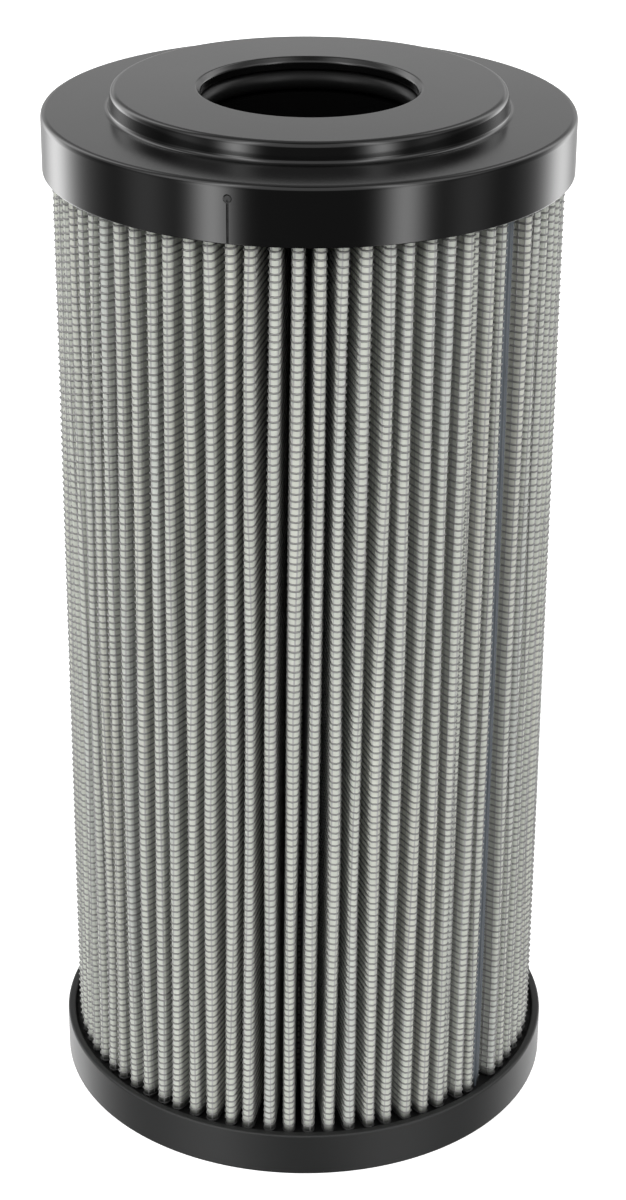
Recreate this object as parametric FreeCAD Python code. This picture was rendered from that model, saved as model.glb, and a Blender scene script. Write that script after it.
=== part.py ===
import FreeCAD, Part
import math
import os

os.makedirs("parts", exist_ok=True)

# Pleated filter element: an open, sealed end cap on top, a closed one below, and a pleat pack between
# them around a windowed core. Sizes are in millimetres. The axis is +Z, the base stands on z = 0 and
# the front is -Y.

# Overall sizes
flange_height = 186.4        # base to the flange face of the top end cap
top_cap_radius = 45.2
bottom_cap_step = 0.7        # the bottom end cap is wider than the top one by this, all around

# Top end cap
flange_thickness = 3.2
skirt_height = 10.0          # flange face to the lower edge of the skirt
skirt_wall = 1.2
boss_radius = 33.5
boss_height = 3.5
rim_rounding = 0.9           # outer edge of the flange
boss_rounding = 0.9          # upper edge of the boss
boss_taper = 0.3             # its foot is wider by this, all around
boss_foot_chamfer = 0.5
rounding_cones = 1           # narrow cones that make up a rounding
bore_radius = 18.3           # entry of the bore, above the seal
bore_lead = 0.8              # chamfer around the entry
guide_radius = 17.4          # narrower bore below the seal, which guides the spigot
collar_wall = 2.6            # plastic around the seal groove
collar_length = 14.0         # below the flange

# Bore seal
seal_depth = 2.1             # boss face to the seal groove
seal_cord = 3.2              # thickness of the ring
seal_stand_out = 1.1         # how far the ring stands into the bore
seal_play = 0.35             # free height above the ring, and below it
seal_sides = 6               # flats around the section of the ring

# Support core
core_fit = 0.25              # radial play on the collar and on the locating ring
core_wall = 1.5
window_width = 12.0
window_height = 32.0
window_columns = 6
window_rib = 6.0             # least height between rows of windows, and beyond the collar and ring

# Bottom end cap
bottom_floor = 3.0
bottom_cap_height = 8.4
bottom_rim_wall = 1.5
bottom_chamfer = 0.3
locating_ring_height = 6.0   # above the floor
locating_ring_wall = 1.6

# Adhesive in both end caps
top_potting_depth = 4.0
bottom_potting_depth = 4.0

# Pleat pack
mesh_thickness = 0.4         # woven wire, two wires thick
media_thickness = 0.5
crest_inner_radius = 0.25    # inside of the outer folds
root_inner_radius = 0.1      # inside of the folds at the core
pack_skirt_gap = 0.25        # pleat crests to the inside of the skirt
pack_core_gap = 0.4          # pleat roots to the core
least_root_gap = 0.18        # between neighbouring folds at the core
crest_chords = 2             # flats across an outer fold
inner_crest_chords = 1       # the same on the inner surface of the strip, where the fold is tight
root_chords = 1              # flats across a fold at the core
crest_wander_share = 0.18    # of the gap between crests: pushed in by hand, they stray sideways
seam_crest_gap = 0.45        # the crest beside the seam leans over to it, up to this gap
seam_direction = -40.0       # degrees from +X, around the axis
seam_depth = 8.0             # radial depth of the bond between the two ends of the strip

# Levels and radii that follow from them
bottom_cap_radius = top_cap_radius + bottom_cap_step
boss_top = flange_height + boss_height
boss_foot_radius = boss_radius + boss_taper
flange_underside = flange_height - flange_thickness
collar_end = flange_underside - collar_length
seal_groove_height = seal_cord + 2 * seal_play
seal_groove_top = boss_top - seal_depth
seal_groove_bottom = seal_groove_top - seal_groove_height
seal_inner_radius = bore_radius - seal_stand_out
seal_groove_radius = seal_inner_radius + seal_cord
collar_radius = seal_groove_radius + collar_wall
core_inner_radius = collar_radius + core_fit
core_outer_radius = core_inner_radius + core_wall
skirt_inner_radius = top_cap_radius - skirt_wall
rim_inner_radius = bottom_cap_radius - bottom_rim_wall
pack_inner_radius = core_outer_radius + pack_core_gap
pack_outer_radius = skirt_inner_radius - pack_skirt_gap
pack_bottom = bottom_floor + bottom_potting_depth
pack_top = flange_underside - top_potting_depth
sheet_thickness = mesh_thickness + media_thickness

# Fold centres: the outer surface turns around the crest centres at the outer fold radius, and around
# the root centres at the inner fold radius. As many pleats are packed in as fit around the core.
crest_radius = crest_inner_radius + sheet_thickness
root_radius = root_inner_radius + sheet_thickness
crest_centre_radius = pack_outer_radius - crest_radius
root_centre_radius = pack_inner_radius + root_radius
least_root_pitch = 2 * root_radius + least_root_gap
pleat_count = int(2 * math.pi * root_centre_radius / least_root_pitch)
pleat_angle = 2 * math.pi / pleat_count
crest_gap = crest_centre_radius * pleat_angle - 2 * crest_radius
quarter_turn = math.pi / 2


def polar(radius, angle):
    return FreeCAD.Vector(radius * math.cos(angle), radius * math.sin(angle), 0)


def turned(corners):
    # A solid of revolution. Each corner of its half section is (radius, height, rounding), and a
    # rounding is made of narrow cones, all tangent to its circle.
    points = [FreeCAD.Vector(radius, 0, height) for radius, height, rounding in corners]
    section = []
    for index, (radius, height, rounding) in enumerate(corners):
        corner = points[index]
        to_last = (points[index - 1] - corner).normalize()
        to_next = (points[(index + 1) % len(points)] - corner).normalize()
        if rounding == 0:
            section.append(corner)
            continue
        half_angle = to_last.getAngle(to_next) / 2
        step = (math.pi - 2 * half_angle) / (rounding_cones + 1)
        middle = corner + (to_last + to_next).normalize() * (rounding / math.sin(half_angle))
        first = corner + to_last * (rounding / math.tan(half_angle)) - middle
        for cone in range(rounding_cones + 1):
            turn = FreeCAD.Rotation(to_next.cross(to_last), math.degrees((cone + 0.5) * step))
            section.append(middle + turn.multVec(first) * (1 / math.cos(step / 2)))
    face = Part.Face(Part.makePolygon(section + section[:1]))
    return face.revolve(FreeCAD.Vector(0, 0, 0), FreeCAD.Vector(0, 0, 1), 360)


def upright(points, bottom, top):
    # A prism on a flat outline, from one level to another.
    face = Part.Face(Part.makePolygon(points + points[:1]))
    face.translate(FreeCAD.Vector(0, 0, bottom))
    return face.extrude(FreeCAD.Vector(0, 0, top - bottom))


def top_end_cap():
    return turned([
        (bore_radius + bore_lead, boss_top, 0),
        (boss_radius, boss_top, boss_rounding),
        (boss_foot_radius, flange_height + boss_foot_chamfer, 0),
        (boss_foot_radius + boss_foot_chamfer, flange_height, 0),
        (top_cap_radius, flange_height, rim_rounding),
        (top_cap_radius, flange_height - skirt_height, 0),
        (skirt_inner_radius, flange_height - skirt_height, 0),
        (skirt_inner_radius, flange_underside, 0),
        (collar_radius, flange_underside, 0),
        (collar_radius, collar_end, 0),
        (guide_radius, collar_end, 0),
        (guide_radius, seal_groove_bottom, 0),
        (seal_groove_radius, seal_groove_bottom, 0),
        (seal_groove_radius, seal_groove_top, 0),
        (bore_radius, seal_groove_top, 0),
        (bore_radius, boss_top - bore_lead, 0),
    ])


def bore_seal():
    # A ring of round cord, flat where it bears on the bottom of its groove.
    centre_radius = seal_groove_radius - seal_cord / 2
    centre_height = (seal_groove_top + seal_groove_bottom) / 2
    half_step = math.pi / seal_sides
    corner_radius = seal_cord / 2 / math.cos(half_step)
    corners = []
    for side in range(seal_sides):
        angle = (2 * side + 1) * half_step
        radius = centre_radius + corner_radius * math.cos(angle)
        corners.append((radius, centre_height + corner_radius * math.sin(angle), 0))
    return turned(corners)


def support_core():
    tube = turned([
        (core_inner_radius, bottom_floor, 0),
        (core_outer_radius, bottom_floor, 0),
        (core_outer_radius, flange_underside, 0),
        (core_inner_radius, flange_underside, 0),
    ])
    lowest = bottom_floor + locating_ring_height + window_rib
    highest = collar_end - window_rib
    rows = int((highest - lowest + window_rib) / (window_height + window_rib))
    rib = (highest - lowest - rows * window_height) / max(rows - 1, 1)
    windows = []
    for row in range(rows):
        bottom = lowest + row * (window_height + rib)
        for column in range(window_columns):
            window = Part.makeBox(core_outer_radius, window_width, window_height,
                                  FreeCAD.Vector(core_outer_radius / 2, -window_width / 2, bottom))
            window.rotate(FreeCAD.Vector(0, 0, 0), FreeCAD.Vector(0, 0, 1),
                          360 * (column + 0.5) / window_columns)
            windows.append(window)
    return tube.cut(windows)


def bottom_end_cap():
    locating_radius = core_inner_radius - core_fit
    locating_top = bottom_floor + locating_ring_height
    return turned([
        (0, 0, 0),
        (bottom_cap_radius - bottom_chamfer, 0, 0),
        (bottom_cap_radius, bottom_chamfer, 0),
        (bottom_cap_radius, bottom_cap_height, 0),
        (rim_inner_radius, bottom_cap_height, 0),
        (rim_inner_radius, bottom_floor, 0),
        (locating_radius, bottom_floor, 0),
        (locating_radius, locating_top, 0),
        (locating_radius - locating_ring_wall, locating_top, 0),
        (locating_radius - locating_ring_wall, bottom_floor, 0),
        (0, bottom_floor, 0),
    ])


def potting_ring(outer_radius, bottom, top):
    return turned([
        (core_outer_radius, bottom, 0),
        (outer_radius, bottom, 0),
        (outer_radius, top, 0),
        (core_outer_radius, top, 0),
    ])


def crest_centre(index):
    # Crest 0 and crest pleat_count are the same place: the seam, where both ends of the strip meet.
    angle = math.radians(seam_direction) + index * pleat_angle
    if index == pleat_count - 1:
        sideways = crest_gap - seam_crest_gap
    elif index in (0, pleat_count):
        sideways = 0
    else:
        wave = (math.sin(1.7 * index) + math.sin(2.9 * index)) / 2
        sideways = crest_wander_share * crest_gap * wave
    return polar(crest_centre_radius, angle + sideways / crest_centre_radius)


def root_centre(index):
    # The root after the crest of the same index.
    return polar(root_centre_radius, math.radians(seam_direction) + (index + 0.5) * pleat_angle)


def flank_direction(crest, root, side):
    # From crest to root, along the straight flank on the given side of the crest: 1 or -1.
    along = root - crest
    lean = math.asin((crest_radius + root_inner_radius) / along.Length)
    return math.atan2(along.y, along.x) + side * lean


def bend(centre, radius, first_normal, last_normal, turn, chords):
    # Corners of a fold made of equal flats around a centre, tangent to the flanks on both sides.
    sweep = turn * ((turn * (last_normal - first_normal)) % (2 * math.pi))
    step = sweep / (chords + 1)
    corner_radius = radius / math.cos(step / 2)
    return [centre + polar(corner_radius, first_normal + (corner + 0.5) * step)
            for corner in range(chords + 1)]


def strip_end(crest, radius, flank, side):
    # Where one end of the strip is cut, level with the top of the crests beside it.
    return crest + polar(radius, flank - side * quarter_turn) - polar(crest_radius, flank)


def fold_line(depth):
    # The whole strip, seen from above, at a depth below its outer surface.
    over_crest = crest_radius - depth
    under_root = root_inner_radius + depth
    over_chords = inner_crest_chords if depth == sheet_thickness else crest_chords
    points = []
    rising = None
    for index in range(pleat_count):
        crest = crest_centre(index)
        root = root_centre(index)
        falling = flank_direction(crest, root, 1)
        if rising is None:
            points.append(strip_end(crest, over_crest, falling, 1))
        else:
            points += bend(crest, over_crest, rising + quarter_turn, falling - quarter_turn, 1,
                           over_chords)
        rising = flank_direction(crest_centre(index + 1), root, -1)
        points += bend(root, under_root, falling + quarter_turn, rising - quarter_turn, -1,
                       root_chords)
    points.append(strip_end(crest_centre(pleat_count), over_crest, rising, -1))
    return points


def pleated_sheet(outer_depth, inner_depth):
    outline = fold_line(outer_depth) + fold_line(inner_depth)[::-1]
    return upright(outline, pack_bottom, pack_top)


def side_seam():
    # The bond fills the fold at the seam, between the inner faces of both ends of the strip.
    crest = crest_centre(0)
    falling = flank_direction(crest, root_centre(0), 1)
    rising = flank_direction(crest, root_centre(-1), -1)
    outer_ends = [strip_end(crest, crest_inner_radius, falling, 1),
                  strip_end(crest, crest_inner_radius, rising, -1)]
    depth = crest_radius + seam_depth
    inner_ends = [outer_ends[1] + polar(depth, rising), outer_ends[0] + polar(depth, falling)]
    return upright(outer_ends + inner_ends, pack_bottom, pack_top)


pieces = {
    "top_end_cap": top_end_cap(),
    "bore_seal": bore_seal(),
    "support_core": support_core(),
    "outer_support_mesh": pleated_sheet(0, mesh_thickness),
    "filter_media": pleated_sheet(mesh_thickness, sheet_thickness),
    "side_seam": side_seam(),
    "top_potting": potting_ring(skirt_inner_radius, pack_top, flange_underside),
    "bottom_potting": potting_ring(rim_inner_radius, bottom_floor, pack_bottom),
    "bottom_end_cap": bottom_end_cap(),
}

for name, shape in pieces.items():
    shape.exportStep("parts/" + name + ".step")
    print(name, round(shape.Volume, 1), shape.isValid())
print("pleats", pleat_count)
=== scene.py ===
import math

import bmesh
import bpy
import numpy as np
from mathutils import Matrix, Vector


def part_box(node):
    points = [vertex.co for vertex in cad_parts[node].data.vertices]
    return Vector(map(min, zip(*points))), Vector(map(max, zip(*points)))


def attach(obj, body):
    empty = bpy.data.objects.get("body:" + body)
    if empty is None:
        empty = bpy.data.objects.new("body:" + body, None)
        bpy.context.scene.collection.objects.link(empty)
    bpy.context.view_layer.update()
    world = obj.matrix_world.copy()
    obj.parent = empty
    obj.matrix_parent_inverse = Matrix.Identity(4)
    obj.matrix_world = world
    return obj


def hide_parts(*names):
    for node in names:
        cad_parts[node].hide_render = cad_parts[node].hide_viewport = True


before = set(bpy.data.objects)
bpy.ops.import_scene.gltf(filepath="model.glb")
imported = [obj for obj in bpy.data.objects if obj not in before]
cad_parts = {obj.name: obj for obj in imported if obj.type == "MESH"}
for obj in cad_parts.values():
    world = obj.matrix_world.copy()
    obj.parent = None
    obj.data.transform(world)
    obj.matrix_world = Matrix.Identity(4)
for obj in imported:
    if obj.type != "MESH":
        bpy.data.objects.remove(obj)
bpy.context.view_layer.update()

mm = 0.001
fullTurn = 2 * math.pi
body = "root"

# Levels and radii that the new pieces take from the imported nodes
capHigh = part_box("top_end_cap")[1]
baseLow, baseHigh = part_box("bottom_end_cap")
sealLow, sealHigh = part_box("bore_seal")
packLow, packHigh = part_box("filter_media")
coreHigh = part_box("support_core")[1]
pottingLow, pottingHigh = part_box("bottom_potting")


class Signal:
    # One output of a node. Arithmetic on it adds Math nodes.
    def __init__(self, recipe, socket):
        self.recipe = recipe
        self.socket = socket

    def combine(self, operation, *values):
        inputs = dict(enumerate((self,) + values))
        return self.recipe.node("ShaderNodeMath", {"operation": operation}, inputs)

    def __add__(self, other):
        return self.combine("ADD", other)

    def __sub__(self, other):
        return self.combine("SUBTRACT", other)

    def __mul__(self, other):
        return self.combine("MULTIPLY", other)

    def __truediv__(self, other):
        return self.combine("DIVIDE", other)

    def __pow__(self, other):
        return self.combine("POWER", other)

    __radd__ = __add__
    __rmul__ = __mul__

    def __rsub__(self, other):
        return self.recipe.node("ShaderNodeMath", {"operation": "SUBTRACT"}, {0: other, 1: self})

    def __abs__(self):
        return self.combine("ABSOLUTE")


class Recipe:
    # A node tree, of a material or of the world, that is written as expressions.
    def __init__(self, tree):
        self.tree = tree
        tree.nodes.clear()

    def node(self, kind, settings=None, inputs=None, output=0):
        made = self.tree.nodes.new(kind)
        for name, value in (settings or {}).items():
            setattr(made, name, value)
        for key, value in (inputs or {}).items():
            if isinstance(value, Signal):
                self.tree.links.new(value.socket, made.inputs[key])
            else:
                made.inputs[key].default_value = value
        return Signal(self, made.outputs[output]) if made.outputs else None

    def place(self):
        return self.node("ShaderNodeTexCoord", output="Object")

    def stretched(self, vector, scale):
        return self.node("ShaderNodeVectorMath", {"operation": "MULTIPLY"}, {0: vector, 1: scale})

    def split(self, vector):
        parts = self.node("ShaderNodeSeparateXYZ", inputs={0: vector})
        return [Signal(self, socket) for socket in parts.socket.node.outputs]

    def noise(self, vector, scale, detail=2.0, roughness=0.5):
        return self.node("ShaderNodeTexNoise", inputs={
            "Vector": vector, "Scale": scale, "Detail": detail, "Roughness": roughness})

    def ramp(self, factor, low, high, fromLow=0.0, fromHigh=1.0):
        return self.node("ShaderNodeMapRange", {"interpolation_type": "SMOOTHSTEP"}, {
            "Value": factor, "From Min": fromLow, "From Max": fromHigh, "To Min": low, "To Max": high})

    def mix(self, factor, first, second):
        return self.node("ShaderNodeMix", {"data_type": "RGBA"}, {0: factor, 6: first, 7: second}, 2)

    def bump(self, height, distance, strength=1.0):
        return self.node("ShaderNodeBump", inputs={
            "Height": height, "Distance": distance, "Strength": strength})


def newMaterial(name, surface):
    # surface takes a recipe and returns the inputs of the Principled shader
    material = bpy.data.materials.new(name)
    material.use_nodes = True
    recipe = Recipe(material.node_tree)
    shader = recipe.node("ShaderNodeBsdfPrincipled", inputs=surface(recipe))
    recipe.node("ShaderNodeOutputMaterial", inputs={"Surface": shader})
    return material


def grey(value, tint=(1, 1, 1)):
    return (value * tint[0], value * tint[1], value * tint[2], 1)


# Finishes. The scales of noises are in waves per metre, "base" is the darkest grey of a finish, and
# "lighter" is how many times lighter its lightest is.

glossCap = {
    "ior": 1.48, "base": 0.002, "lighter": 1.6, "rough": 0.07, "roughVary": 0.05, "topRough": 0.1,
    "cloudScale": 45.0, "waveScale": 90.0, "waveDepth": 0.004 * mm, "wallBand": (0.5 * mm, 0.9 * mm),
    "topBand": 0.4 * mm,
    "gateAngle": -106.2, "gateLevel": 183.8 * mm, "gateRadius": 0.75 * mm, "gateEdge": 0.7,
    "gateDepth": 0.12 * mm, "gateRough": 0.3, "lineWidth": 0.22 * mm, "lineStart": -0.6 * mm,
    "lineDepth": 0.6, "markReach": (40 * mm, 42 * mm),
}


def glossCapSurface(recipe):
    look = glossCap
    place = recipe.place()
    x, y, z = recipe.split(place)
    clouds = recipe.noise(place, look["cloudScale"], 3.0)
    waves = recipe.noise(place, look["waveScale"], 1.0)
    # The gate mark of the moulding, a shallow pit on the skirt with a fine line below it
    angle = math.radians(look["gateAngle"])
    across = x * -math.sin(angle) + y * math.cos(angle)   # along the skirt, from the mark
    outward = x * math.cos(angle) + y * math.sin(angle)
    onSkirt = recipe.ramp(outward, 0.0, 1.0, *look["markReach"])
    up = z - look["gateLevel"]
    distance = (across * across + up * up) ** 0.5
    pit = recipe.ramp(distance, 1.0, 0.0, look["gateRadius"] * look["gateEdge"], look["gateRadius"])
    below = recipe.ramp(up, 1.0, 0.0, look["lineStart"], 0.0)
    line = recipe.ramp(abs(across), 1.0, 0.0, 0.0, look["lineWidth"]) * below
    mark = (pit + line * look["lineDepth"]) * onSkirt
    # The flat tops of the flange and the boss are a little rougher than the walls
    flange = capHigh.z - topCap["bossHeight"]
    radius = (x * x + y * y) ** 0.5
    onWall = recipe.ramp(abs(radius - topCap["bossRadius"]), 1.0, 0.0, *look["wallBand"])
    onTop = recipe.ramp(z, 0.0, 1.0, flange - look["topBand"], flange) * (1.0 - onWall)
    height = waves * look["waveDepth"] - mark * look["gateDepth"]
    return {
        "Base Color": recipe.mix(clouds, grey(look["base"]), grey(look["base"] * look["lighter"])),
        "Roughness": (clouds * look["roughVary"] + look["rough"] + mark * look["gateRough"]
                      + onTop * look["topRough"]),
        "IOR": look["ior"],
        "Normal": recipe.bump(height, 1.0),
    }


satinCap = {
    "ior": 1.48, "base": 0.009, "lighter": 1.3, "tint": (0.9, 1.0, 1.0), "rough": 0.46,
    "roughVary": 0.12, "cloudScale": 60.0, "grainScale": 2200.0, "grainDepth": 0.006 * mm,
}


def satinCapSurface(recipe):
    look = satinCap
    place = recipe.place()
    clouds = recipe.noise(place, look["cloudScale"], 3.0)
    grain = recipe.noise(place, look["grainScale"], 2.0)
    return {
        "Base Color": recipe.mix(clouds, grey(look["base"], look["tint"]),
                                 grey(look["base"] * look["lighter"])),
        "Roughness": clouds * look["roughVary"] + look["rough"],
        "IOR": look["ior"],
        "Normal": recipe.bump(grain * look["grainDepth"], 1.0),
    }


sealRubber = {
    "ior": 1.24, "base": 0.004, "lighter": 1.8, "rough": 0.3, "roughVary": 0.12, "cloudScale": 130.0,
    "grainScale": 1500.0, "grainDepth": 0.006 * mm,
}


def sealRubberSurface(recipe):
    look = sealRubber
    place = recipe.place()
    clouds = recipe.noise(place, look["cloudScale"], 3.0)
    grain = recipe.noise(place, look["grainScale"], 2.0)
    return {
        "Base Color": recipe.mix(clouds, grey(look["base"]), grey(look["base"] * look["lighter"])),
        "Roughness": clouds * look["roughVary"] + look["rough"],
        "IOR": look["ior"],
        "Normal": recipe.bump(grain * look["grainDepth"], 1.0),
    }


whiteMedia = {
    "light": (0.64, 0.66, 0.60), "dark": (0.50, 0.52, 0.465), "warm": (0.64, 0.64, 0.57),
    "cool": (0.57, 0.595, 0.58), "rough": 0.9, "fibreScale": 1400.0, "fibreStretch": (1, 1, 0.35),
    "fibreShare": 0.7, "fibreDepth": 0.05 * mm, "fibreBump": 0.6,
    "tintScale": 9.0, "warmRange": (0.55, 0.7), "coolRange": (0.3, 0.42), "tintShare": 0.5,
    "stainHeight": 3.2 * mm, "stainStart": 0.6 * mm, "stainUneven": 2.0 * mm, "stainScale": 160.0,
    "stainStretch": (1, 1, 0.25), "stainGrey": 0.012, "stainGloss": 0.5,
    "bondWidth": (1.0 * mm, 1.2 * mm), "bondDepth": (3.5 * mm, 3.0 * mm),
}


def whiteMediaSurface(recipe):
    look = whiteMedia
    place = recipe.place()
    x, y, z = recipe.split(place)
    fibres = recipe.noise(recipe.stretched(place, look["fibreStretch"]), look["fibreScale"], 3.0, 0.7)
    colour = recipe.mix(fibres * look["fibreShare"], (*look["light"], 1), (*look["dark"], 1))
    # Each pleat has a tint of its own, a little warmer or cooler
    turn = recipe.node("ShaderNodeMath", {"operation": "ARCTAN2"}, {0: y, 1: x})
    around = recipe.node("ShaderNodeCombineXYZ", inputs={
        0: turn * look["tintScale"], 2: z * look["tintScale"]})
    tints = recipe.noise(around, 1.0, 1.0)
    warmth = recipe.ramp(tints, 0.0, look["tintShare"], *look["warmRange"])
    coolness = recipe.ramp(tints, look["tintShare"], 0.0, *look["coolRange"])
    colour = recipe.mix(warmth, colour, (*look["warm"], 1))
    colour = recipe.mix(coolness, colour, (*look["cool"], 1))
    # The adhesive soaks into the pleat feet
    patches = recipe.noise(recipe.stretched(place, look["stainStretch"]), look["stainScale"], 2.0)
    climb = z - packLow.z + (patches - 0.5) * look["stainUneven"]
    stain = recipe.ramp(climb, 1.0, 0.0, look["stainStart"], look["stainHeight"])
    # The bond of the seam covers the cut ends of the sheet beside it
    level = (z - packLow.z) / (packHigh.z - packLow.z)
    lean = level * fold["twist"] + fold["offset"] - fold["twist"] / 2
    radius = (x * x + y * y) ** 0.5
    across = abs(turn - (lean + fold["seamDirection"]) * (math.pi / 180)) * radius
    bond = recipe.ramp(across, 1.0, 0.0, *look["bondWidth"]) * recipe.ramp(
        radius, 0.0, 1.0, *(fold["packRadius"] - depth for depth in look["bondDepth"]))
    colour = recipe.mix(bond, colour, (*seamAdhesive["light"], 1))
    return {
        "Base Color": recipe.mix(stain, colour, grey(look["stainGrey"])),
        "Roughness": look["rough"] - stain * look["stainGloss"],
        "Normal": recipe.bump(fibres * look["fibreDepth"], 1.0, look["fibreBump"]),
    }


# The rows are steel grey, and the uprights between them show as fine light threads
steelWire = {"light": 0.37, "dark": 0.22, "rough": 0.42, "metal": 0.6}
uprightWire = {"light": 0.52, "dark": 0.40, "rough": 0.5, "metal": 0.15}
wireFinish = {
    "tint": (1, 1, 0.98), "roughVary": 0.25, "scratchScale": 900.0, "stainStart": 0.4 * mm,
    "stainShare": 0.8,
}


def steelWireSurface(recipe, look=steelWire):
    both = wireFinish
    place = recipe.place()
    z = recipe.split(place)[2]
    clouds = recipe.noise(place, both["scratchScale"], 3.0)
    stain = recipe.ramp(z - packLow.z, 1.0, 0.0, both["stainStart"],
                        whiteMedia["stainHeight"] * both["stainShare"])
    colour = recipe.mix(clouds, grey(look["dark"], both["tint"]), grey(look["light"], both["tint"]))
    return {
        "Base Color": recipe.mix(stain, colour, grey(whiteMedia["stainGrey"])),
        "Roughness": clouds * both["roughVary"] + look["rough"],
        "Metallic": look["metal"] - stain * look["metal"],
    }


corePlastic = {
    "base": 0.014, "lighter": 1.7, "rough": 0.4, "roughVary": 0.15, "cloudScale": 80.0,
    "grainScale": 1800.0, "grainDepth": 0.006 * mm,
}


def corePlasticSurface(recipe):
    look = corePlastic
    place = recipe.place()
    clouds = recipe.noise(place, look["cloudScale"], 3.0)
    grain = recipe.noise(place, look["grainScale"], 2.0)
    return {
        "Base Color": recipe.mix(clouds, grey(look["base"]), grey(look["base"] * look["lighter"])),
        "Roughness": clouds * look["roughVary"] + look["rough"],
        "Normal": recipe.bump(grain * look["grainDepth"], 1.0),
    }


seamAdhesive = {
    "light": (0.11, 0.125, 0.14), "dark": (0.04, 0.05, 0.065), "rough": 0.5, "roughVary": 0.2,
    "streakScale": 900.0, "streakStretch": (1, 1, 0.12), "streakDepth": 0.08 * mm,
}


def seamAdhesiveSurface(recipe):
    look = seamAdhesive
    place = recipe.place()
    streaks = recipe.noise(recipe.stretched(place, look["streakStretch"]), look["streakScale"], 3.0)
    return {
        "Base Color": recipe.mix(streaks, (*look["dark"], 1), (*look["light"], 1)),
        "Roughness": streaks * look["roughVary"] + look["rough"],
        "Normal": recipe.bump(streaks * look["streakDepth"], 1.0),
    }


pottingAdhesive = {
    "base": 0.01, "lighter": 1.8, "rough": 0.22, "roughVary": 0.25, "cloudScale": 240.0,
    "cloudDepth": 0.25 * mm,
}


def pottingAdhesiveSurface(recipe):
    look = pottingAdhesive
    place = recipe.place()
    clouds = recipe.noise(place, look["cloudScale"], 3.0)
    return {
        "Base Color": recipe.mix(clouds, grey(look["base"]), grey(look["base"] * look["lighter"])),
        "Roughness": clouds * look["roughVary"] + look["rough"],
        "Normal": recipe.bump(clouds * look["cloudDepth"], 1.0),
    }


# Shapes

def addPiece(name, mesh, slot, node, sharpAngle=35, finish=None):
    for polygon in mesh.polygons:
        polygon.use_smooth = True
    mesh.set_sharp_from_angle(angle=math.radians(sharpAngle))
    piece = bpy.data.objects.new(name, mesh)
    bpy.context.scene.collection.objects.link(piece)
    mesh.materials.clear()
    mesh.materials.append(materials[finish or slot])
    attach(piece, body)
    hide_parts(node)


turned = {
    "standOff": 0.1 * mm,    # from a rounding to the narrow ring beside it
    "leastShare": 2.5,       # an edge gets such a ring if it is this many times as long
    "merge": 0.002 * mm,     # points nearer than this become one
    "onRing": 0.005 * mm,    # points this near to a corner's radius and height are on its ring
}


def turnedMesh(name, corners, steps, segments=4):
    # A half section of (radius, height, rounding), turned around the axis, with its corners bevelled.
    # A narrow ring beside each rounding keeps the shading of the flat faces flat, where there is room.
    section = []
    for index, (radius, height, rounding) in enumerate(corners):
        here = Vector((radius, 0, height))
        for other in (corners[index - 1], None, corners[(index + 1) % len(corners)]):
            if other is None:
                section.append(here)
                continue
            along = Vector((other[0], 0, other[1])) - here
            reach = rounding + turned["standOff"]
            if rounding > 0 and along.length > turned["leastShare"] * reach:
                section.append(here + along.normalized() * reach)
    shape = bmesh.new()
    verts = [shape.verts.new(point) for point in section]
    edges = [shape.edges.new((verts[i - 1], verts[i])) for i in range(len(verts))
             if section[i - 1].x > 0 or section[i].x > 0]
    bmesh.ops.spin(shape, geom=verts + edges, cent=(0, 0, 0), axis=(0, 0, 1), angle=fullTurn,
                   steps=steps, use_merge=True)
    bmesh.ops.remove_doubles(shape, verts=shape.verts[:], dist=turned["merge"])
    for radius, height, rounding in corners:
        if rounding == 0:
            continue
        ring = [edge for edge in shape.edges if all(
            abs(vert.co.z - height) < turned["onRing"]
            and abs(math.hypot(vert.co.x, vert.co.y) - radius) < turned["onRing"]
            for vert in edge.verts)]
        bmesh.ops.bevel(shape, geom=ring, offset=rounding, offset_type="OFFSET", segments=segments,
                        profile=0.5, affect="EDGES", material=-1, clamp_overlap=True)
    bmesh.ops.recalc_face_normals(shape, faces=shape.faces[:])
    mesh = bpy.data.meshes.new(name)
    shape.to_mesh(mesh)
    shape.free()
    return mesh


topCap = {
    "bossHeight": 3.5 * mm, "bossRadius": 33.5 * mm, "bossTaper": 0.3 * mm,
    "flangeThickness": 3.2 * mm, "skirtHeight": 10.0 * mm, "skirtWall": 1.2 * mm,
    "boreRadius": 18.3 * mm, "boreLead": 0.8 * mm, "guideRadius": 17.4 * mm, "grooveTop": 2.1 * mm,
    "grooveHeight": 3.9 * mm, "grooveRadius": 20.4 * mm, "collarRadius": 23.0 * mm,
    "collarLength": 14.0 * mm,
    "rimRounding": 0.9 * mm, "bossRounding": 0.9 * mm, "footRounding": 0.7 * mm,
    "lipRounding": 0.15 * mm, "innerRounding": 0.2 * mm, "collarRounding": 0.3 * mm, "steps": 256,
}


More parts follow.
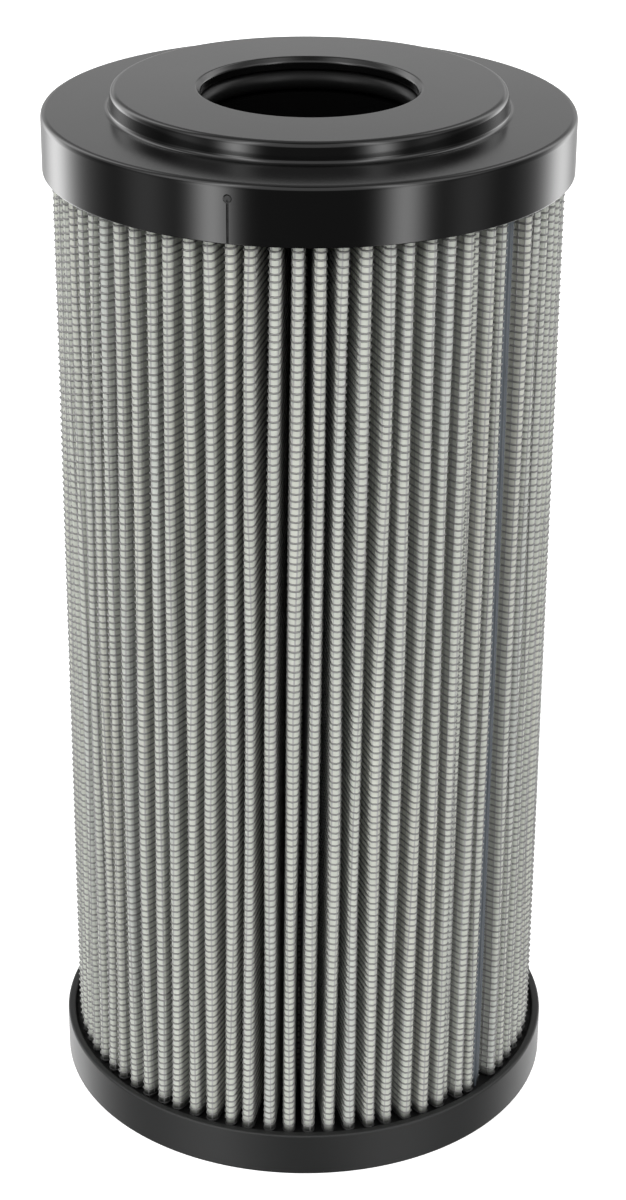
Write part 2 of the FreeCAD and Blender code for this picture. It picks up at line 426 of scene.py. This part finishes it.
def makeTopCap():
    size = topCap
    radius = capHigh.x
    bossTop = capHigh.z
    flange = bossTop - size["bossHeight"]
    underside = flange - size["flangeThickness"]
    skirtEnd = flange - size["skirtHeight"]
    skirtInner = radius - size["skirtWall"]
    collarEnd = underside - size["collarLength"]
    grooveTop = bossTop - size["grooveTop"]
    grooveBottom = grooveTop - size["grooveHeight"]
    corners = [
        (size["boreRadius"] + size["boreLead"], bossTop, size["lipRounding"]),
        (size["bossRadius"], bossTop, size["bossRounding"]),
        (size["bossRadius"] + size["bossTaper"], flange, size["footRounding"]),
        (radius, flange, size["rimRounding"]),
        (radius, skirtEnd, size["lipRounding"]),
        (skirtInner, skirtEnd, size["innerRounding"]),
        (skirtInner, underside, 0),
        (size["collarRadius"], underside, 0),
        (size["collarRadius"], collarEnd, size["collarRounding"]),
        (size["guideRadius"], collarEnd, size["collarRounding"]),
        (size["guideRadius"], grooveBottom, 0),
        (size["grooveRadius"], grooveBottom, 0),
        (size["grooveRadius"], grooveTop, 0),
        (size["boreRadius"], grooveTop, size["lipRounding"]),
        (size["boreRadius"], bossTop - size["boreLead"], size["innerRounding"]),
    ]
    mesh = turnedMesh("topEndCap", corners, size["steps"])
    addPiece("topEndCap", mesh, "gloss_cap", "top_end_cap")


bottomCap = {
    "height": 8.4 * mm, "floor": 3.0 * mm, "rimWall": 1.5 * mm, "ringHeight": 6.0 * mm,
    "ringRadius": 23.0 * mm, "ringWall": 1.6 * mm, "rounding": 0.35 * mm, "ringRounding": 0.3 * mm,
    "steps": 256,
}


def makeBottomCap():
    size = bottomCap
    radius = baseHigh.x
    floor = baseLow.z + size["floor"]
    rimTop = baseLow.z + size["height"]
    ringTop = floor + size["ringHeight"]
    rimInner = radius - size["rimWall"]
    ringInner = size["ringRadius"] - size["ringWall"]
    corners = [
        (0, baseLow.z, 0),
        (radius, baseLow.z, size["rounding"]),
        (radius, rimTop, size["rounding"]),
        (rimInner, rimTop, size["rounding"]),
        (rimInner, floor, 0),
        (size["ringRadius"], floor, 0),
        (size["ringRadius"], ringTop, size["ringRounding"]),
        (ringInner, ringTop, size["ringRounding"]),
        (ringInner, floor, 0),
        (0, floor, 0),
    ]
    mesh = turnedMesh("bottomEndCap", corners, size["steps"])
    addPiece("bottomEndCap", mesh, "satin_cap", "bottom_end_cap")


boreSeal = {"cord": 3.2 * mm, "sides": 24, "steps": 192}


def makeSeal():
    # A ring of round cord
    outer = sealHigh.x
    cord = boreSeal["cord"]
    middle = (sealLow.z + sealHigh.z) / 2
    corners = []
    for side in range(boreSeal["sides"]):
        angle = fullTurn * side / boreSeal["sides"]
        corners.append((outer - cord / 2 + cord / 2 * math.cos(angle),
                        middle + cord / 2 * math.sin(angle), 0))
    mesh = turnedMesh("boreSeal", corners, boreSeal["steps"])
    addPiece("boreSeal", mesh, "seal_rubber", "bore_seal")


bottomPotting = {
    "climb": 0.35 * mm, "dip": 0.1 * mm, "steepness": 60,
    "shares": (0.0, 0.01, 0.03, 0.06, 0.3, 0.7, 0.97, 0.99, 1.0), "steps": 192,
}


def makePotting():
    # The adhesive climbs the rim and the core a little, where it wets them
    size = bottomPotting
    inner = coreHigh.x
    outer = baseHigh.x - bottomCap["rimWall"]
    width = outer - inner
    low = pottingLow.z
    level = pottingHigh.z
    corners = [(inner, low, 0), (outer, low, 0)]
    for share in size["shares"]:
        wetting = math.exp(-min(share, 1 - share) * size["steepness"])
        lift = size["climb"] * wetting - size["dip"] * (1 - wetting)
        corners.append((outer - share * width, level + lift, 0))
    mesh = turnedMesh("bottomPotting", corners, size["steps"])
    addPiece("bottomPotting", mesh, "potting", "bottom_potting")


# The fold of the pleated strip, with the values of the part. Angles are in degrees. Crests are counted
# leftwards from the seam, which is number 0. Left of it they are crowded, and there is one more than the
# part has: "crowd" gives the angles from the seam of crests 1 to 4, "pushedIn" sets a crest back, and
# "drift" turns the others by an angle that changes with their number.
fold = {
    "pleats": 75, "seamDirection": -40.0, "packRadius": 43.75 * mm, "coreGap": 0.4 * mm,
    "meshThickness": 0.4 * mm, "mediaThickness": 0.5 * mm, "crestInnerRadius": 0.3 * mm,
    "rootInnerRadius": 0.1 * mm, "seamDepth": 8.0 * mm,
    "wander": 0.25 * mm, "wanderRates": (1.7, 2.9),
    "crowd": [3.3, 6.9, 10.4, 13.3], "pushedIn": {0: 1.2 * mm, 3: 1.3 * mm},
    "crowdedRoots": 14, "rootShare": 0.8, "drift": [(5, 1.1), (14, 0.0), (71, 0.0), (75, 1.2)],
    "twist": 1.4, "offset": -0.35, "sway": 0.2 * mm,
    "swayWaves": [(1.0, 17, 4.0, 0.0), (0.7, 29, -7.0, 1.0)],   # share, waves around, lean, start
}
sheetThickness = fold["meshThickness"] + fold["mediaThickness"]
crestRadius = fold["crestInnerRadius"] + sheetThickness
crestCentreRadius = fold["packRadius"] - crestRadius
rootCentreRadius = coreHigh.x + fold["coreGap"] + fold["rootInnerRadius"] + sheetThickness
pleatAngle = fullTurn / fold["pleats"]
quarterTurn = math.pi / 2


def polar(radius, angle):
    return np.array([radius * math.cos(angle), radius * math.sin(angle)])


def crestCentre(index):
    # Crest 0 and the last one are the same place: the seam
    fromSeam = (fold["pleats"] + 1 - index) % (fold["pleats"] + 1)
    radius = crestCentreRadius - fold["pushedIn"].get(fromSeam, 0)
    if fromSeam <= len(fold["crowd"]):
        away = ([0] + fold["crowd"])[fromSeam]
        return polar(radius, math.radians(fold["seamDirection"] - away))
    wander = fold["wander"] * sum(math.sin(rate * index) for rate in fold["wanderRates"]) / 2
    drift = np.interp(fromSeam, *zip(*fold["drift"]))
    angle = math.radians(fold["seamDirection"] + drift) + index * pleatAngle
    return polar(radius, angle + wander / radius)


def rootCentre(index):
    # The root after the crest of the same index. The first ones left of the seam close up, which makes
    # room for the extra crest.
    fromSeam = fold["pleats"] - index % (fold["pleats"] + 1)
    moved = min(fromSeam / fold["crowdedRoots"], 1)
    drift = fold["rootShare"] * np.interp(fromSeam, *zip(*fold["drift"]))
    return polar(rootCentreRadius, math.radians(fold["seamDirection"] + drift)
                 - (fromSeam + 0.5 - moved) * pleatAngle)


def flankDirection(crest, root, side):
    # The direction of the flat flank that touches both roundings, from the crest to the root
    along = root - crest
    lean = math.asin((crestRadius + fold["rootInnerRadius"]) / np.hypot(*along))
    return math.atan2(along[1], along[0]) + side * lean


def arc(centre, radius, first, last, turn, steps):
    sweep = turn * ((turn * (last - first)) % fullTurn)
    return [centre + polar(radius, first + sweep * step / steps) for step in range(steps + 1)]


def stripEnd(crest, radius, flank, side):
    # The end of the strip at the seam, whose flank runs straight on past the centre of the crest
    return crest + polar(radius, flank - side * quarterTurn) - polar(crestRadius, flank)


def foldLine(depth, crestSteps, rootSteps):
    # The strip seen from above, from one end to the other, at a depth below its outer surface
    overCrest = crestRadius - depth
    underRoot = fold["rootInnerRadius"] + depth
    points = []
    rising = None
    for index in range(fold["pleats"] + 1):
        crest = crestCentre(index)
        root = rootCentre(index)
        falling = flankDirection(crest, root, 1)
        if rising is None:
            points.append(stripEnd(crest, overCrest, falling, 1))
        else:
            points += arc(crest, overCrest, rising + quarterTurn, falling - quarterTurn, 1, crestSteps)
        rising = flankDirection(crestCentre(index + 1), root, -1)
        points += arc(root, underRoot, falling + quarterTurn, rising - quarterTurn, -1, rootSteps)
    points.append(stripEnd(crestCentre(fold["pleats"] + 1), overCrest, rising, -1))
    return np.array(points)


def settle(mesh):
    # Pleats are gathered by hand: the pack is twisted a little, and its crests sway between the caps.
    # The sway grows from nothing at the roots, and is held at both ends.
    points = np.zeros(len(mesh.vertices) * 3)
    mesh.vertices.foreach_get("co", points)
    points = points.reshape(-1, 3)
    radius = np.hypot(points[:, 0], points[:, 1])
    angle = np.arctan2(points[:, 1], points[:, 0])
    level = (points[:, 2] - packLow.z) / (packHigh.z - packLow.z)
    out = np.clip((radius - rootCentreRadius) / (crestCentreRadius - rootCentreRadius), 0, 1.1)
    sway = sum(share * np.sin(waves * angle + lean * level + start)
               for share, waves, lean, start in fold["swayWaves"])
    ends = np.sin(np.pi * np.clip(level, 0, 1)) ** 0.5
    angle += fold["sway"] * sway * out * ends / crestCentreRadius
    angle += np.radians(fold["offset"] + fold["twist"] * (level - 0.5))
    points[:, 0] = radius * np.cos(angle)
    points[:, 1] = radius * np.sin(angle)
    mesh.vertices.foreach_set("co", points.ravel())
    mesh.update()


media = {"meshDepth": 0.35 * mm, "crestSteps": 8, "rootSteps": 4, "levels": 20}


def prismMesh(name, outline, low, high, levels):
    # A closed outline, extruded upwards in equal levels
    shape = bmesh.new()
    verts = [shape.verts.new((x, y, low)) for x, y in outline]
    loop = [shape.edges.new((verts[i - 1], verts[i])) for i in range(len(verts))]
    ends = list(loop)
    for level in range(levels):
        grown = bmesh.ops.extrude_edge_only(shape, edges=loop)["geom"]
        loop = [item for item in grown if isinstance(item, bmesh.types.BMEdge)]
        lifted = [item for item in grown if isinstance(item, bmesh.types.BMVert)]
        bmesh.ops.translate(shape, verts=lifted, vec=(0, 0, (high - low) / levels))
    bmesh.ops.edgeloop_fill(shape, edges=ends)
    bmesh.ops.edgeloop_fill(shape, edges=loop)
    bmesh.ops.recalc_face_normals(shape, faces=shape.faces[:])
    mesh = bpy.data.meshes.new(name)
    shape.to_mesh(mesh)
    shape.free()
    return mesh


def makeMedia():
    size = media
    outer = foldLine(size["meshDepth"], size["crestSteps"], size["rootSteps"])
    inner = foldLine(sheetThickness, size["crestSteps"], size["rootSteps"])
    outline = np.concatenate([outer, inner[::-1]])
    mesh = prismMesh("filterMedia", outline, packLow.z, packHigh.z, size["levels"])
    settle(mesh)
    addPiece("filterMedia", mesh, "white_media", "filter_media", sharpAngle=50)


wires = {
    "pitch": 1.25 * mm, "radius": 0.18 * mm, "rowDepth": 0.21 * mm, "rowCrestSteps": 4,
    "rowRootSteps": 1, "rowsPerPiece": 40,
    "uprightDepth": 0.41 * mm, "uprightCrestSteps": 8, "uprightRootSteps": 3, "levels": 8,
    "uprightsPerPiece": 800, "endGap": 0.05 * mm, "stray": 0.45 * mm,
    "strayWaves": [(1.0, 60 * mm, 5.0), (0.8, 23 * mm, -8.0)],   # share, length, lean
}


def wireMesh(name, lines):
    # Wires of square section along the lines, each an array of points
    curve = bpy.data.curves.new(name, "CURVE")
    curve.dimensions = "3D"
    curve.bevel_depth = wires["radius"]
    curve.bevel_resolution = 0
    curve.use_fill_caps = True
    for line in lines:
        spline = curve.splines.new("POLY")
        spline.points.add(len(line) - 1)
        spline.points.foreach_set("co", np.column_stack([line, np.ones(len(line))]).ravel())
    bent = bpy.data.objects.new(name, curve)
    mesh = bpy.data.meshes.new_from_object(bent)
    bpy.data.objects.remove(bent)
    bpy.data.curves.remove(curve)
    return mesh


def makeRows():
    # One wire around the whole fold, copied upwards
    size = wires
    path = foldLine(size["rowDepth"], size["rowCrestSteps"], size["rowRootSteps"])
    first = packLow.z + size["pitch"] / 2
    count = int((packHigh.z - first) / size["pitch"])
    row = wireMesh("row", [np.column_stack([path, np.full(len(path), first)])])
    made = 0
    piece = 0
    while made < count:
        copies = min(size["rowsPerPiece"], count - made)
        piece += 1
        shape = bmesh.new()
        shape.from_mesh(row)
        base = shape.verts[:] + shape.edges[:] + shape.faces[:]
        bmesh.ops.translate(shape, verts=shape.verts[:], vec=(0, 0, made * size["pitch"]))
        for copy in range(1, copies):
            geometry = bmesh.ops.duplicate(shape, geom=base)["geom"]
            moved = [item for item in geometry if isinstance(item, bmesh.types.BMVert)]
            bmesh.ops.translate(shape, verts=moved, vec=(0, 0, copy * size["pitch"]))
        mesh = bpy.data.meshes.new("meshRows" + str(piece))
        shape.to_mesh(mesh)
        shape.free()
        settle(mesh)
        addPiece(mesh.name, mesh, "steel_mesh", "outer_support_mesh", sharpAngle=100)
        made += copies
    bpy.data.meshes.remove(row)


def makeUprights():
    # Wires that cross the rows, a pitch apart along the fold, and stray a little from the upright
    size = wires
    path = foldLine(size["uprightDepth"], size["uprightCrestSteps"], size["uprightRootSteps"])
    lengths = np.concatenate([[0], np.cumsum(np.hypot(*np.diff(path, axis=0).T))])
    heights = np.linspace(packLow.z + size["endGap"], packHigh.z - size["endGap"], size["levels"] + 1)
    level = (heights - packLow.z) / (packHigh.z - packLow.z)
    places = np.arange(size["pitch"], lengths[-1] - size["pitch"], size["pitch"])
    lines = []
    for place in places:
        bend = sum(share * np.sin(place / length + lean * level)
                   for share, length, lean in size["strayWaves"])
        along = np.clip(place + size["stray"] * bend, 0, lengths[-1])
        lines.append(np.column_stack([np.interp(along, lengths, path[:, 0]),
                                      np.interp(along, lengths, path[:, 1]), heights]))
    for piece, start in enumerate(range(0, len(lines), size["uprightsPerPiece"])):
        mesh = wireMesh("meshWires" + str(piece + 1), lines[start:start + size["uprightsPerPiece"]])
        settle(mesh)
        addPiece(mesh.name, mesh, "steel_mesh", "outer_support_mesh", sharpAngle=100, finish="uprights")


seamBead = {
    "standOut": 0.12 * mm, "levels": 40, "sides": 6, "ripple": 0.08 * mm,
    "rippleWaves": [(5 * mm, 0), (1.9 * mm, 2)],   # length, start
}


def makeSeam():
    # The bond between both ends of the strip, with a slightly uneven bead along its outer edge
    size = seamBead
    crest = crestCentre(0)
    falling = flankDirection(crest, rootCentre(0), 1)
    rising = flankDirection(crest, rootCentre(-1), -1)
    left = stripEnd(crest, fold["crestInnerRadius"], falling, 1)
    right = stripEnd(crest, fold["crestInnerRadius"], rising, -1)
    depth = crestRadius + fold["seamDepth"]
    outward = crest / np.hypot(*crest)
    outline = []
    for side in range(size["sides"] + 1):
        share = side / size["sides"]
        bulge = size["standOut"] * math.sin(math.pi * share)
        outline.append(left + (right - left) * share + outward * bulge)
    outline += [right + polar(depth, rising), left + polar(depth, falling)]
    mesh = prismMesh("sideSeam", outline, packLow.z, packHigh.z, size["levels"])
    for vert in mesh.vertices:
        reach = math.hypot(vert.co.x, vert.co.y)
        if reach > crestCentreRadius:
            uneven = sum(math.sin(vert.co.z / length + start) for length, start in size["rippleWaves"])
            push = 1 + size["ripple"] * uneven / reach / 2
            vert.co.x *= push
            vert.co.y *= push
    settle(mesh)
    addPiece("sideSeam", mesh, "seam_adhesive", "side_seam", sharpAngle=50)


# One for each slot, and one more for the upright wires
materials = {
    "gloss_cap": newMaterial("glossCap", glossCapSurface),
    "satin_cap": newMaterial("satinCap", satinCapSurface),
    "seal_rubber": newMaterial("sealRubber", sealRubberSurface),
    "white_media": newMaterial("whiteMedia", whiteMediaSurface),
    "steel_mesh": newMaterial("steelWire", steelWireSurface),
    "uprights": newMaterial("uprightWire", lambda recipe: steelWireSurface(recipe, uprightWire)),
    "core_plastic": newMaterial("corePlastic", corePlasticSurface),
    "seam_adhesive": newMaterial("seamAdhesive", seamAdhesiveSurface),
    "potting": newMaterial("pottingAdhesive", pottingAdhesiveSurface),
}
print("materials made")

makeTopCap()
makeBottomCap()
makeSeal()
makePotting()
print("caps, seal and adhesive made")
makeMedia()
makeSeam()
print("media and seam made")
makeRows()
makeUprights()
print("wires made")

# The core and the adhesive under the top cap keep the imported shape, and get a finish
keptNodes = {"support_core": "core_plastic", "top_potting": "potting"}
for node, slot in keptNodes.items():
    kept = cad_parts[node].data
    kept.materials.clear()
    kept.materials.append(materials[slot])


# Studio

studioFloor = {"width": 6.0, "shade": 0.9, "rough": 0.9, "glow": 0.6}


def makeFloor():
    shape = bmesh.new()
    bmesh.ops.create_grid(shape, x_segments=1, y_segments=1, size=studioFloor["width"] / 2)
    mesh = bpy.data.meshes.new("floor")
    shape.to_mesh(mesh)
    shape.free()
    floor = bpy.data.objects.new("floor", mesh)
    bpy.context.scene.collection.objects.link(floor)
    mesh.materials.append(newMaterial("floorPaint", lambda recipe: {
        "Base Color": grey(studioFloor["shade"]), "Roughness": studioFloor["rough"],
        "Specular IOR Level": 0.0,
        "Emission Color": grey(1.0), "Emission Strength": studioFloor["glow"]}))
    floor.visible_glossy = False
    floor.visible_diffuse = False


# The light of the studio, much the same on both sides and a little brighter on the left. Angles are in
# degrees, and a direction is counted from the front to either side. A softbox is (direction, half width,
# lowest and highest elevation, brightness), and the wall is a pale band behind the part.
studio = {
    "softboxes": [(41, 8.5, -60, 60, 4.8), (72, 12, -60, 60, 0.5), (133, 15, -60, 60, 3.0),
                  (62, 32, 20, 80, 2.2), (0, 45, 10, 75, 1.5), (150, 25, -60, -20, 3.0)],
    "softEdge": 10, "leftShare": 0.12,
    "front": 0.12, "back": 0.6, "frontToBack": (85, 120),
    "lowShare": 0.55, "lowRange": (-42, -22), "highShare": 0.7, "highRange": (0, 13),
    "wall": 0.95, "wallSide": (130, 160), "wallFoot": (3, 10), "wallShare": 0.5, "wallTop": (13, 20),
    "background": 1.0,
}


def makeStudio():
    # What lights the part is the studio, and what the camera sees around it is plain
    world = bpy.data.worlds.new("studio")
    bpy.context.scene.world = world
    world.use_nodes = True
    recipe = Recipe(world.node_tree)
    x, y, z = recipe.split(recipe.node("ShaderNodeTexCoord", output="Generated"))
    direction = abs(recipe.node("ShaderNodeMath", {"operation": "ARCTAN2"}, {0: x, 1: y * -1.0}))
    direction = direction * (180 / math.pi)
    elevation = recipe.node("ShaderNodeMath", {"operation": "ARCSINE"}, {0: z}) * (180 / math.pi)
    fade = (recipe.ramp(elevation, studio["lowShare"], 1.0, *studio["lowRange"])
            * recipe.ramp(elevation, 1.0, studio["highShare"], *studio["highRange"]))
    light = recipe.ramp(direction, studio["front"], studio["back"], *studio["frontToBack"])
    for place, halfWidth, lowest, highest, brightness in studio["softboxes"]:
        away = (direction - place) / halfWidth
        box = recipe.node("ShaderNodeMath", {"operation": "EXPONENT"}, {0: away * away * -1.0})
        box = box * recipe.ramp(elevation, 0.0, brightness, lowest, lowest + studio["softEdge"])
        light = light + box * recipe.ramp(elevation, 1.0, 0.0, highest - studio["softEdge"], highest)
    light = light * fade * (1.0 - x * studio["leftShare"])
    wall = (recipe.ramp(direction, 0.0, 1.0, *studio["wallSide"])
            * recipe.ramp(elevation, 0.0, 1.0, *studio["wallFoot"])
            * recipe.ramp(elevation, 1.0, studio["wallShare"], *studio["wallTop"]))
    light = recipe.node("ShaderNodeMath", {"operation": "MAXIMUM"}, {
        0: light, 1: wall * studio["wall"]})
    shade = recipe.node("ShaderNodeBackground", inputs={"Color": grey(1.0), "Strength": light})
    plain = recipe.node("ShaderNodeBackground", inputs={
        "Color": grey(1.0), "Strength": studio["background"]})
    seen = recipe.node("ShaderNodeLightPath", output="Is Camera Ray")
    both = recipe.node("ShaderNodeMixShader", inputs={0: seen, 1: shade, 2: plain})
    recipe.node("ShaderNodeOutputWorld", inputs={"Surface": both})


camera = {
    "lens": 85.0, "back": 466.3 * mm, "height": 317.9 * mm, "pitch": 25.64, "yaw": 0.15, "roll": 0.40,
    "nearest": 10 * mm,
}


def makeCamera():
    view = camera
    pitch, yaw, roll = (math.radians(view[name]) for name in ("pitch", "yaw", "roll"))
    forward = Vector((math.sin(yaw) * math.cos(pitch), math.cos(yaw) * math.cos(pitch),
                      -math.sin(pitch)))
    level = Vector((math.cos(yaw), -math.sin(yaw), 0))
    upward = level.cross(forward)
    right = level * math.cos(roll) + upward * math.sin(roll)
    top = upward * math.cos(roll) - level * math.sin(roll)
    lens = bpy.data.cameras.new("camera")
    lens.lens = view["lens"]
    lens.clip_start = view["nearest"]
    eye = bpy.data.objects.new("camera", lens)
    bpy.context.scene.collection.objects.link(eye)
    turned = Matrix((right, top, -forward)).transposed().to_4x4()
    eye.matrix_world = Matrix.Translation((0, -view["back"], view["height"])) @ turned
    bpy.context.scene.camera = eye


makeFloor()
makeStudio()
makeCamera()
bpy.context.scene.view_settings.view_transform = "Standard"
print("studio made")
